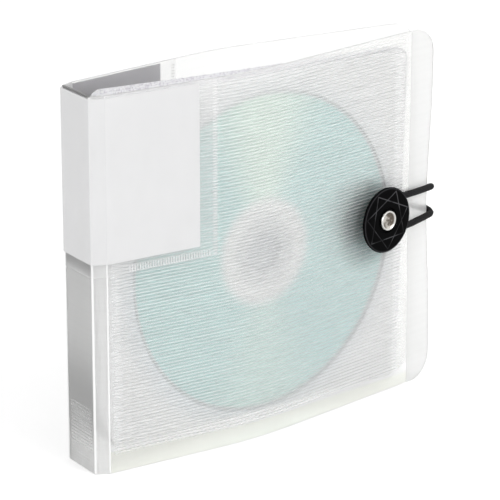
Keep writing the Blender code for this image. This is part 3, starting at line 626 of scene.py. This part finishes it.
def leaf_film():
    """Soft leaf film: its front wall shows the disc in its pocket, and the stack behind is milky, with a painted shadow
    round the disc, painted shade in the disc's hole and painted light and shade along the leaves' tops.
    """
    material, n, shader = new_material("leaf_film")
    place = n.place()
    grain = n.group("Frosted grain", Place=place)
    slope = math.tan(math.radians(DISC_TURN))
    from_disc = n.math("SUBTRACT", n.axis(place, "Y"), n.times(n.axis(place, "X"), slope))
    gap = n.math("SUBTRACT", from_disc, DISC_CENTRE.y - DISC_CENTRE.x * slope)
    x = n.axis(place, "X")
    above_foot = above_leaf_foot(n, place)
    across, above = n.math("SUBTRACT", x, DISC_CENTRE.x), n.math("SUBTRACT", n.axis(place, "Z"), DISC_CENTRE.z)
    radius = n.reach(across, above)
    on_pocket = n.times(n.band(x, *POCKET_SIDES), n.fade(radius, *WINDOW_EDGE))
    front = n.span(gap, -0.7 * MM, -0.4 * MM, 1.0, 0.0, smooth=False)
    wall = n.times(front, on_pocket)
    shown = n.span(wall, 0.0, 1.0, 1.0, 0.14, smooth=False)
    n.set(shader, Alpha=n.math("MINIMUM", shown, n.span(above_foot, HEM - 0.3 * MM, HEM, 0.03, 1.0)))
    streak = n.noise(place, 40.0, 3.0, stretch=(1.0, 1.0, 0.4))
    body = n.mix(streak, (0.95, 0.95, 0.97, 1.0), (0.99, 0.99, 0.998, 1.0))
    # A darker mottle along the leaves' tops: painted light and shade of their many thin edges.
    top_mottle = n.span(n.noise(place, 1300.0, 2.0, 0.6), 0.46, 0.6)
    up = n.span(above_foot, *LEAF_TOP)
    body = n.mix(n.times(top_mottle, n.times(up, 0.7)), body, (0.60, 0.57, 0.63, 1.0))
    body = n.mix(front, body, n.mix(streak, (0.78, 0.78, 0.79, 1.0), (0.84, 0.84, 0.85, 1.0)))
    # Painted shadow of the disc on the leaf behind it, darker to its lower left.
    disc_shadow = n.band(radius, *DISC_SHADE)
    low_left = n.span(n.math("ADD", across, above), -70.0 * MM, 0.0, 0.5, 0.2)
    by_disc = n.span(gap, 1.5 * MM, 2.0 * MM, 1.0, 0.0, smooth=False)
    disc_shadow = n.times(disc_shadow, n.times(by_disc, low_left))
    body = n.mix(disc_shadow, body, (0.58, 0.64, 0.70, 1.0))
    # Painted shade in the recess of the disc's centre hole.
    hole = n.times(by_disc, n.fade(radius, *HOLE_EDGE, 0.85))
    body = n.mix(hole, body, (0.68, 0.69, 0.72, 1.0))
    n.set(shader, Base_Color=body, Roughness=n.span(grain["Grain"], 0.3, 0.7, 0.28, 0.42))
    n.set(shader, Normal=n.bump(grain["Cloud"], 0.6 * MM, 0.2))
    return material


def disc_mirror():
    """The disc's recording side: a pale teal mirror with a soft greenish painted sheen fanning up from the centre and
    fainter below, and a frosted hub ring.
    """
    material, n, shader = new_material("disc_mirror")
    place = n.local(n.place(), DISC_CENTRE, (0.0, 0.0, math.radians(DISC_TURN)))
    x, z = n.axis(place, "X"), n.axis(place, "Z")
    radius = n.reach(x, z)
    angle = n.math("ABSOLUTE", n.math("ARCTAN2", x, z))
    # Painted sheen: the disc's greenish rainbow glint, strongest above the centre and faint below it.
    top_sheen = n.fade(angle, 0.05, 0.65, 0.9)
    foot_sheen = n.span(angle, 2.5, 3.1, 0.0, 0.35)
    painted_sheen = n.math("ADD", top_sheen, foot_sheen, clamp=True)
    data = n.mix(painted_sheen, (0.49, 0.77, 0.76, 1.0), (0.80, 0.96, 0.85, 1.0))
    ring = n.fade(radius, *HUB_EDGE)
    data = n.mix(ring, data, (0.96, 0.96, 0.965, 1.0))
    inner = n.fade(radius, *HUB_INSIDE)
    data = n.mix(inner, data, (0.80, 0.805, 0.825, 1.0))
    rim = n.span(radius, *DISC_RIM)
    data = n.mix(rim, data, (0.70, 0.72, 0.74, 1.0))
    n.set(shader, Base_Color=data)
    grooves = n.add("ShaderNodeTexNoise", {"noise_dimensions": "1D"}, W=radius, Scale=9000.0, Detail=2.0).outputs[0]
    n.set(shader, Roughness=n.span(grooves, 0.3, 0.7, 0.3, 0.4), Metallic=n.math("SUBTRACT", 0.5, n.times(ring, 0.4)))
    n.set(shader, Normal=n.bump(grooves, 0.01 * MM, 0.3))
    return material


def button_plane(n, place):
    """Places across the button's face, from its centre, and the distance from it."""
    centre = panel_frame(FRONT_END + BUTTON_FROM_EDGE, -BUTTON_FACE, BUTTON_HEIGHT)
    local = n.local(place, centre.to_translation(), centre.to_euler("XYZ"))
    x, y = n.axis(local, "X"), n.axis(local, "Y")
    return x, y, n.reach(x, y)


def rivet_metal():
    """Bright rolled rim round a darker, dented dish, with a painted highlight over the dish's left side."""
    material, n, shader = new_material("rivet_metal")
    place = n.place()
    x, y, radius = button_plane(n, place)
    dent = n.noise(place, 420.0, 3.0, 0.6)
    # Painted highlight: the dish grows brighter towards its left side, broken up by the dents.
    lit = n.span(n.math("SUBTRACT", dent, n.times(x, 60.0)), 0.42, 0.66)
    dish = n.mix(lit, (0.13, 0.11, 0.09, 1.0), (0.64, 0.61, 0.56, 1.0))
    rim = n.span(radius, *RIVET_RIM)
    n.set(shader, Base_Color=n.mix(rim, dish, (0.74, 0.73, 0.70, 1.0)), Roughness=n.span(dent, 0.3, 0.7, 0.18, 0.3))
    n.set(shader, Normal=n.bump(dent, 0.2 * MM, 0.4), Metallic=1.0)
    return material


def moulded_black(name, colour, star=False):
    """Black moulded plastic. The button's face has a thin scored star of seven points and a painted highlight ring just
    inside its edge.
    """
    material, n, shader = new_material(name)
    place = n.place()
    grain = n.noise(place, 1500.0, 3.0)
    shade = n.mix(grain, tint(colour, 0.8), tint(colour, 1.5))
    bump = n.bump(grain, 0.02 * MM, 0.3)
    if star:
        x, y, radius = button_plane(n, place)
        step = math.tau / 7
        turn = n.math("DIVIDE", n.math("ADD", n.math("ARCTAN2", y, x), math.tau - STAR_TURN), step)
        off = n.math("ABSOLUTE", n.math("SUBTRACT", n.math("FRACT", n.math("ADD", turn, 0.5)), 0.5))
        off = n.times(off, step)
        line = None
        for angle in (off, n.math("SUBTRACT", step, off)):
            across = n.times(radius, n.math("COSINE", angle))
            across = n.math("ABSOLUTE", n.math("SUBTRACT", across, STAR_RADIUS * math.cos(step)))
            found = n.fade(across, *STAR_LINE)
            line = found if line is None else n.math("MAXIMUM", line, found)
        line = n.times(line, n.fade(radius, STAR_RADIUS, STAR_RADIUS + 0.3 * MM))
        worn = n.span(n.noise(place, 130.0, 2.0), 0.4, 0.62, 0.2, 1.0)
        shade = n.mix(n.times(line, worn), shade, (0.075, 0.075, 0.08, 1.0))
        # Painted highlight: a faint lighter ring just inside the button's edge.
        rim = n.band(radius, *BUTTON_RIM_HIGHLIGHT)
        shade = n.mix(n.times(rim, 0.5), shade, (0.06, 0.06, 0.065, 1.0))
        bump = n.bump(line, 0.2 * MM, 0.6, bump)
    n.set(shader, Base_Color=shade, Roughness=n.span(grain, 0.3, 0.7, 0.38, 0.5), Specular_IOR_Level=0.02, Normal=bump)
    return material


def turned_metal(name, colour, low, high, scale=2600.0):
    """Turned or stamped metal with fine scuffs."""
    material, n, shader = new_material(name)
    place = n.place()
    scuff = n.noise(place, scale, 4.0, 0.6, stretch=(0.3, 0.3, 1.0))
    n.set(shader, Base_Color=n.mix(scuff, tint(colour, 0.85), tint(colour)))
    n.set(shader, Roughness=n.span(scuff, 0.3, 0.7, low, high), Normal=n.bump(scuff, 0.02 * MM, 0.3), Metallic=1.0)
    return material


def woven_elastic():
    """Round woven elastic: a slanted braid round the cord."""
    material, n, shader = new_material("woven_elastic")
    uv = n.add("ShaderNodeTexCoord").outputs["UV"]
    along = n.times(n.axis(uv, "X"), 210.0)
    around = n.times(n.axis(uv, "Y"), 6.0)
    left = n.math("SINE", n.times(n.math("ADD", along, around), math.tau))
    right = n.math("SINE", n.times(n.math("SUBTRACT", along, around), math.tau))
    braid = n.span(n.math("MAXIMUM", left, right), -0.6, 1.0)
    colour = bpy.context.scene.wallet_closure.elastic
    n.set(shader, Base_Color=n.mix(braid, tint(colour, 0.5), tint(colour, 1.9)))
    n.set(shader, Roughness=n.span(braid, 0.0, 1.0, 0.75, 0.55), Specular_IOR_Level=0.15)
    n.set(shader, Normal=n.bump(braid, 0.12 * MM, 0.7))
    return material


def dress(node, material):
    """Gives a solid its finish."""
    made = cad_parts[node]
    made.data.materials.clear()
    made.data.materials.append(material)
    return made


# ---- operators -----------------------------------------------------------------------------------------------
def rib_lines(low, high, groove, bottom, top):
    """Thin lines along the ribs' crests, or along the grooves between them."""
    thick = GROOVE_STAND if groove else CREST_STAND
    outer = -thick
    work = bmesh.new()
    for row in range(int(bottom / RIB_PITCH) + 1, int(top / RIB_PITCH)):
        height = (row + groove / 2) * RIB_PITCH
        add_box(work, (high - low, thick, RIB_TALL), ((low + high) / 2, outer + thick / 2, height))
    pinched = [FRONT_END + share * PINCH_REACH for share in PINCH_COLUMNS]
    cut_work(work, set(LINE.folds(low, high)) | {place for place in pinched if low < place < high})
    seated = [face for face in work.faces if all(v.co.y > outer + thick - TOUCH for v in face.verts)]
    folded(work, pinch if high < 0 else None)
    bmesh.ops.delete(work, geom=seated, context="FACES_ONLY")
    return work


class WALLET_OT_cover(bpy.types.Operator):
    """Finish the frosted cover and its whitened creases, which are also painted highlights"""

    bl_idname = "wallet.cover"
    bl_label = "Cover"

    def execute(self, context):
        settings = context.scene.wallet_sheet
        build_groups()
        half = SPINE_WIDTH / 2
        clear = frosted_sheet("frosted_cover", 1.0, settings.roughness, 0.9, button_shadow=True)
        pale = frosted_sheet("frosted_back", 0.92, settings.roughness, 0.88)
        # The spine's sheet is a darker copy, 0.83 of the sheet's colour: painted shade, where less light falls on the
        # spine.
        milky = frosted_sheet("frosted_spine", 0.83, MILKY_ROUGHNESS, 0.6, shaded=True)
        strip = frosted_sheet("frosted_strip", 0.93, MILKY_ROUGHNESS, 0.62)
        rim = frosted_sheet("frosted_rim", 0.87, MILKY_ROUGHNESS, 0.5)
        for node, body, start, end, far in (
            ("front_panel", "front_cover", FRONT_END, -half - FOLD_GAP, FRONT_END),
            ("spine_panel", "spine", -half + FOLD_GAP, half - FOLD_GAP, None),
            ("back_panel", "back_cover", half + FOLD_GAP, BACK_END, BACK_END),
        ):
            finishes = {"front_panel": (clear, strip, rim), "back_panel": (pale, strip, rim)}.get(node, (milky,))
            made = piece(node.replace("panel", "sheet"), cover_sheet(start, end, far), *finishes, smooth=True)
            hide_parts(node)
            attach(made, body)
        self.ribs(rib_highlight("rib_crests", 0.36), rib_highlight("rib_grooves", 0.3))
        crease = crease_white_and_highlight("crease_white_and_highlight")
        for side, body in ((-1, "front_cover"), (1, "back_cover")):
            corner = side * half
            wide = settings.crease_width / 2
            columns = [corner + share * wide for share in (-0.5, 0.0, 0.5)]
            work = strip_work(corner - wide, corner + wide, *CREASE_ENDS, -0.16 * MM, 0.12 * MM, columns)
            made = piece(body.replace("_cover", "_corner_crease"), folded(work), crease)
            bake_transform(made)
            score = side * (half + STRIP)
            wide = SCORE_WIDTH / 2
            work = strip_work(score - wide, score + wide, *CREASE_ENDS, -0.12 * MM, 0.08 * MM, [score])
            made = piece(body.replace("_cover", "_score_crease"), folded(work), crease)
            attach(made, body)
        return {"FINISHED"}

    def ribs(self, crest_highlight, groove_highlight):
        """Lines of painted highlight on each ribbed face."""
        inner = SPINE_WIDTH / 2 + STRIP + RIB_MARGIN + RIB_RAMP
        flat = SPINE_WIDTH / 2 - RIB_MARGIN - RIB_RAMP
        for node, body, low, high, bottom, top in (
            ("front_panel", "front_cover", FRONT_END + RIB_START, -inner, PAGE_FOOT, CASE_HEIGHT),
            ("back_panel", "back_cover", inner, BACK_END - RIB_END, PAGE_FOOT, CASE_HEIGHT),
            ("spine_panel", "spine", -flat, flat, 0.0, SPINE_RIB_TOP),
        ):
            for word, groove, material in (("crests", 0, crest_highlight), ("grooves", 1, groove_highlight)):
                made = piece(node.replace("panel", "rib_" + word), rib_lines(low, high, groove, bottom, top), material)
                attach(made, body)


class WALLET_OT_label(bpy.types.Operator):
    """Make the label and the welded film of its pocket"""

    bl_idname = "wallet.label"
    bl_label = "Label and pocket"

    def execute(self, context):
        settings = context.scene.wallet_label
        outside = label_paper("label_outside", settings.outside)
        inside = label_paper("label_inside", settings.inside)
        films = {
            "front": [clear_film("front_pocket_" + name, *shown) for name, *shown in FILM_ALPHAS],
            "back": [clear_film("back_pocket_" + name, low / 2, high / 2) for name, low, high in FILM_ALPHAS],
        }
        half = SPINE_WIDTH / 2
        seam = half - LABEL_SEAM
        for side, body, reach in ((-1, "front_cover", LABEL_FRONT), (1, "back_cover", LABEL_BACK)):
            word = body.split("_")[0]
            ends = sorted((seam, side * (half + reach)))
            corner = side * half
            near = [corner + d * MM for d in (-0.7, -0.35, 0.35, 0.7)]
            columns = sorted(set(LINE.folds(*ends) + near + [corner]))
            work = strip_work(*ends, LABEL_BOTTOM, LABEL_TOP, -SEAT - LABEL_THICK, LABEL_THICK, columns)
            inner = {f for f in work.faces if all(v.co.y > -SEAT - NEAR for v in f.verts)}
            for face in work.faces:
                face.material_index = 1 if face in inner else 0
            label = piece("paper_label_" + word, folded(work), outside, inside)
            nodes = ["label_" + word] + (["label_spine"] if side < 0 else [])
            self.hand_over(label, body, corner, side, nodes, "label_" + word)
            film_piece = self.film(side, reach, films[word], settings.dash_pitch, word)
            nodes = ["pocket_film_" + word] + (["pocket_film_spine"] if side < 0 else [])
            self.hand_over(film_piece, body, corner, side, nodes, "pocket_film_" + word)
        return {"FINISHED"}

    def hand_over(self, made, body, corner, side, nodes, slot):
        """Puts the piece in place of its solids."""
        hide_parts(*nodes)
        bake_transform(made)

    def film(self, side, reach, finishes, pitch, word):
        """The film, with its weld bands pressed down and a row of raised dashes along them."""
        half = SPINE_WIDTH / 2
        stand = 2 * SEAT + LABEL_THICK
        edge = half + reach + WELD_GAP + WELD_WIDTH
        inner = edge - WELD_WIDTH
        foot = half + WELD_START
        ends = sorted((half - LABEL_SEAM, side * edge))
        corner = side * half
        near = [corner + d * MM for d in (-0.7, -0.35, 0.0, 0.35, 0.7)]
        stops = [side * p for p in (inner, inner - WELD_RAMP / 2, inner - WELD_RAMP, foot, foot + WELD_RAMP)]
        columns = set(LINE.folds(*ends) + near + stops)
        top = WELD_TOP - WELD_RAMP
        rows = (top, top + WELD_RAMP / 2, top + WELD_RAMP)
        work = strip_work(*ends, WELD_BOTTOM, CASE_HEIGHT - 0.1 * MM, -stand - FILM_THICK, FILM_THICK, columns, rows)

        def press(place, height):
            by_side = ramp(abs(place), inner - WELD_RAMP, inner)
            by_foot = (1.0 - ramp(height, top, top + WELD_RAMP)) * ramp(abs(place), foot, foot + WELD_RAMP)
            return (stand - SEAT) * max(by_side, by_foot)

        for face in work.faces:
            middle = face.calc_center_median()
            welded = abs(middle.x) > inner or (middle.z < top and abs(middle.x) > foot + WELD_RAMP / 2)
            face.material_index = 1 if welded else 0
        dashes = self.dashes(side, edge, foot, pitch)
        folded(work, press)
        scratch = bpy.data.meshes.new("dashes")
        dashes.to_mesh(scratch)
        dashes.free()
        work.from_mesh(scratch)
        bpy.data.meshes.remove(scratch)
        return piece("film_pocket_" + word, work, *finishes)

    def dashes(self, side, edge, foot, pitch):
        """Raised dashes along the side weld, and dashes with a hook along the foot weld."""
        dashes = bmesh.new()
        level = -SEAT - FILM_THICK
        count = int((CASE_HEIGHT - 2 * MM - WELD_BOTTOM) / pitch)
        spots = [(side * (edge - WELD_WIDTH / 2), WELD_BOTTOM + 1.1 * MM + i * pitch, *SIDE_DASH) for i in range(count)]
        count = int((edge - foot - WELD_RAMP - 2.4 * MM) / pitch)
        for i in range(count):
            place = side * (foot + WELD_RAMP + i * pitch)
            spots.append((place, WELD_BOTTOM + 1.7 * MM, *FOOT_DASH))
            spots.append((place + side * 0.3 * MM, WELD_BOTTOM + 0.65 * MM, *FOOT_HOOK))
        for place, height, long, tall in spots:
            corners = add_box(dashes, (long, DASH_THICK, tall), (place, level - 0.06 * MM, height))
            outer = [v for v in corners if v.co.y < level - 0.1 * MM]
            about = Matrix.Translation((-place, 0.0, -height))
            bmesh.ops.scale(dashes, vec=(0.6, 1.0, 0.6), verts=outer, space=about)
        folded(dashes)
        for face in dashes.faces:
            face.material_index = 2
        return dashes


class WALLET_OT_contents(bpy.types.Operator):
    """Finish the bound leaves and the disc in the first one"""

    bl_idname = "wallet.contents"
    bl_label = "Leaves and disc"

    def execute(self, context):
        dress("pages", leaf_film())
        dress("disc", disc_mirror())
        return {"FINISHED"}


class WALLET_OT_closure(bpy.types.Operator):
    """Finish the button and rivet, and make the elastic loop"""

    bl_idname = "wallet.closure"
    bl_label = "Button and loop"

    def execute(self, context):
        settings = context.scene.wallet_closure
        dress("button", moulded_black("button_moulding", settings.button, star=True))
        dress("button_washer", moulded_black("washer_moulding", settings.button))
        self.rivet()
        dress("loop_clip", turned_metal("clip_metal", (0.12, 0.12, 0.125), 0.3, 0.45))
        dress("loop_patch", label_paper("patch_card", (0.52, 0.40, 0.29)))
        self.loop(settings.cord)
        return {"FINISHED"}

    def rivet(self):
        """The rivet, turned round its axis."""
        work = bmesh.new()
        verts = [work.verts.new((radius * MM, 0.0, height * MM)) for radius, height in RIVET_PROFILE]
        edges = [work.edges.new(pair) for pair in zip(verts, verts[1:])]
        bmesh.ops.spin(
            work, geom=verts + edges, cent=(0, 0, 0), axis=(0, 0, 1), angle=math.tau, steps=48, use_merge=True
        )
        bmesh.ops.remove_doubles(work, verts=work.verts, dist=TOUCH)
        bmesh.ops.transform(
            work, matrix=panel_frame(FRONT_END + BUTTON_FROM_EDGE, 0.0, BUTTON_HEIGHT), verts=work.verts
        )
        bmesh.ops.recalc_face_normals(work, faces=work.faces)
        made = piece("rolled_rivet", work, rivet_metal(), smooth=True)
        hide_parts("rivet")
        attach(made, "front_cover")

    def loop(self, cord):
        """The elastic, round the front fore-edge and behind the button."""
        curve = bpy.data.curves.new("elastic", "CURVE")
        curve.dimensions = "3D"
        curve.bevel_depth = cord / 2
        curve.bevel_resolution = 6
        curve.use_fill_caps = True
        spline = curve.splines.new("POLY")
        route = smooth_route(loop_route(cord), 1.0 * MM)
        spline.points.add(len(route) - 1)
        for point, place in zip(spline.points, route):
            point.co = (*place, 1.0)
        drawn = linked("elastic_drawn", curve)
        bpy.context.view_layer.update()
        mesh = bpy.data.meshes.new_from_object(drawn.evaluated_get(bpy.context.evaluated_depsgraph_get()))
        bpy.data.objects.remove(drawn)
        for polygon in mesh.polygons:
            polygon.use_smooth = True
        mesh.materials.clear()
        mesh.materials.append(woven_elastic())
        made = linked("elastic_cord_loop", mesh)
        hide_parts("elastic_loop")
        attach(made, "back_cover")
        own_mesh(made)


def clip_frame():
    place = BACK_END - CLIP_FROM_EDGE - CLIP_LENGTH / 2
    depth = SHEET + SEAT + PATCH_THICK + SEAT + CLIP_DEPTH / 2
    return panel_frame(place, depth, BUTTON_HEIGHT) @ Matrix.Rotation(math.radians(180), 4, "Y")


def smooth_route(points, spacing):
    """Points read from a smooth curve through a route's own points."""
    route = [points[0]] + points + [points[-1]]
    read = [points[0]]
    for a, b, c, d in zip(route, route[1:], route[2:], route[3:]):
        steps = max(1, round((c - b).length / spacing))
        for k in range(1, steps + 1):
            t = k / steps
            bend = (2 * a - 5 * b + 4 * c - d) * t * t + (3 * b - a - 3 * c + d) * t**3
            read.append(0.5 * (2 * b + (c - a) * t + bend))
    return read


def loop_route(cord):
    """The elastic from the clip, round the front fore-edge, behind the button and back to the clip."""
    hug = cord / 2 + 0.25 * MM
    reach = HUB_RADIUS + cord / 2 + SEAT
    height = BUTTON_HEIGHT + reach
    tip = LINE.at(FRONT_END, SHEET / 2 + pinch(FRONT_END, height))
    inward = LINE.heading(FRONT_END + 1 * MM)
    away = Vector((inward.y, -inward.x))
    plan = []
    for degrees in (10, 50, 90, 130, 170):
        angle = math.radians(degrees)
        plan.append(tip + (SHEET / 2 + hug) * (inward * math.cos(angle) + away * math.sin(angle)))
    for d in (4 * MM, 9 * MM, 14 * MM):
        plan.append(LINE.at(FRONT_END + d, pinch(FRONT_END + d, height) - hug))
    button = panel_frame(FRONT_END + BUTTON_FROM_EDGE, 0.0, BUTTON_HEIGHT)
    clip = clip_frame()
    hub = []
    for degrees in (90, 60, 30, 0, -30, -60, -90):
        angle = math.radians(degrees)
        hub.append(button @ Vector((-reach * math.cos(angle), reach * math.sin(angle), hug)))
    strands = []
    for side in (1, -1):
        strand = [clip @ Vector((x, side * STRAND_PITCH / 2, 0.0)) for x in (-1 * MM, 3 * MM, CLIP_LENGTH / 2)]
        heights = [TIP_REACH - drop * MM for drop in (1.7, 1.3, 0.7, 0.2, 0.0)]
        heights += [TIP_REACH + share * (reach - TIP_REACH) for share in (0.3, 0.6, 0.9)]
        strands.append(strand + [Vector((*p, BUTTON_HEIGHT + side * h)) for p, h in zip(plan, heights)])
    return strands[0] + hub + strands[1][::-1]


class WALLET_OT_stage(bpy.types.Operator):
    """Set the pale floor, the soft light and the camera"""

    bl_idname = "wallet.stage"
    bl_label = "Stage"

    def execute(self, context):
        settings = context.scene.wallet_stage
        scene = context.scene
        self.floor(settings)
        self.world(scene, settings)
        for name, place, size, watts in LAMPS:
            lamp = bpy.data.lights.new(name, "AREA")
            lamp.size, lamp.energy = size, watts
            made = linked(name, lamp)
            made.location = place
            aim = Vector((0.08, 0.0, 0.07)) - Vector(place)
            made.rotation_euler = aim.to_track_quat("-Z", "Y").to_euler()
        self.camera(scene, settings)
        scene.view_settings.view_transform = "Standard"
        return {"FINISHED"}

    def floor(self, settings):
        work = bmesh.new()
        bmesh.ops.create_grid(work, x_segments=1, y_segments=1, size=6.0)
        material, n, shader = new_material("pale_floor")
        speck = n.noise(n.place(), 30.0, 3.0)
        pale = settings.floor
        n.set(shader, Base_Color=n.mix(speck, tint(pale, 0.99), tint(pale)), Roughness=0.9, Emission_Color=grey(1.0))
        path = n.add("ShaderNodeLightPath").outputs
        seen, through = n.times(path["Is Camera Ray"], 0.3), n.times(path["Is Transmission Ray"], 0.45)
        n.set(shader, Emission_Strength=n.math("MAXIMUM", seen, through))
        made = piece("floor", work, material)

    def world(self, scene, settings):
        world = bpy.data.worlds.new("soft_surround")
        scene.world = world
        world.use_nodes = True
        n = Nodes(world.node_tree)
        path = n.add("ShaderNodeLightPath").outputs
        mirrored = n.math("MAXIMUM", path["Is Glossy Ray"], path["Is Transmission Ray"])
        seen = n.math("MAXIMUM", path["Is Camera Ray"], mirrored)
        strength = n.span(seen, 0.0, 1.0, settings.daylight, 1.0, smooth=False)
        n.set(world.node_tree.nodes["Background"], Color=grey(1.0), Strength=strength)

    def camera(self, scene, settings):
        azimuth, elevation = math.radians(CAMERA_AZIMUTH), math.radians(CAMERA_ELEVATION)
        level = Vector((math.sin(azimuth), -math.cos(azimuth), 0.0))
        back = level * math.cos(elevation) + Vector((0.0, 0.0, math.sin(elevation)))
        right = Vector((math.cos(azimuth), math.sin(azimuth), 0.0))
        up = back.cross(right)
        target = Vector(CAMERA_TARGET) * MM
        data = bpy.data.cameras.new("camera")
        data.lens = settings.lens
        data.sensor_width = 36.0
        data.clip_start, data.clip_end = 0.05, 50.0
        camera = linked("camera", data)
        camera.location = target + back * CAMERA_DISTANCE
        aim = target + right * AIM_RIGHT - up * AIM_DOWN - camera.location
        camera.rotation_mode = "QUATERNION"
        camera.rotation_quaternion = aim.to_track_quat("-Z", "Y")
        scene.camera = camera


class WALLET_PT_panel(bpy.types.Panel):
    """Lists the wallet's settings and its steps"""

    bl_label = "Disc Wallet"
    bl_idname = "WALLET_PT_panel"
    bl_space_type = "VIEW_3D"
    bl_region_type = "UI"
    bl_category = "Disc Wallet"

    def draw(self, context):
        scene = context.scene
        for settings, names in (
            (scene.wallet_sheet, ("colour", "roughness", "crease_width")),
            (scene.wallet_label, ("outside", "inside", "dash_pitch")),
            (scene.wallet_closure, ("button", "elastic", "cord")),
            (scene.wallet_stage, ("floor", "daylight", "lens")),
        ):
            for name in names:
                self.layout.prop(settings, name)
        for step in STEPS:
            self.layout.operator(step.bl_idname)


SETTINGS = (
    ("wallet_sheet", WalletSheet),
    ("wallet_label", WalletLabel),
    ("wallet_closure", WalletClosure),
    ("wallet_stage", WalletStage),
)
STEPS = (WALLET_OT_stage, WALLET_OT_cover, WALLET_OT_label, WALLET_OT_contents, WALLET_OT_closure)


def register():
    for name, group in SETTINGS:
        bpy.utils.register_class(group)
        setattr(bpy.types.Scene, name, bpy.props.PointerProperty(type=group))
    for step in STEPS + (WALLET_PT_panel,):
        bpy.utils.register_class(step)


def unregister():
    for step in (WALLET_PT_panel,) + STEPS[::-1]:
        bpy.utils.unregister_class(step)
    for name, group in SETTINGS[::-1]:
        delattr(bpy.types.Scene, name)
        bpy.utils.unregister_class(group)


def main():
    register()
    bpy.ops.wallet.stage()
    bpy.ops.wallet.cover()
    bpy.ops.wallet.label()
    bpy.ops.wallet.contents()
    bpy.ops.wallet.closure()


if __name__ == "__main__":
    main()
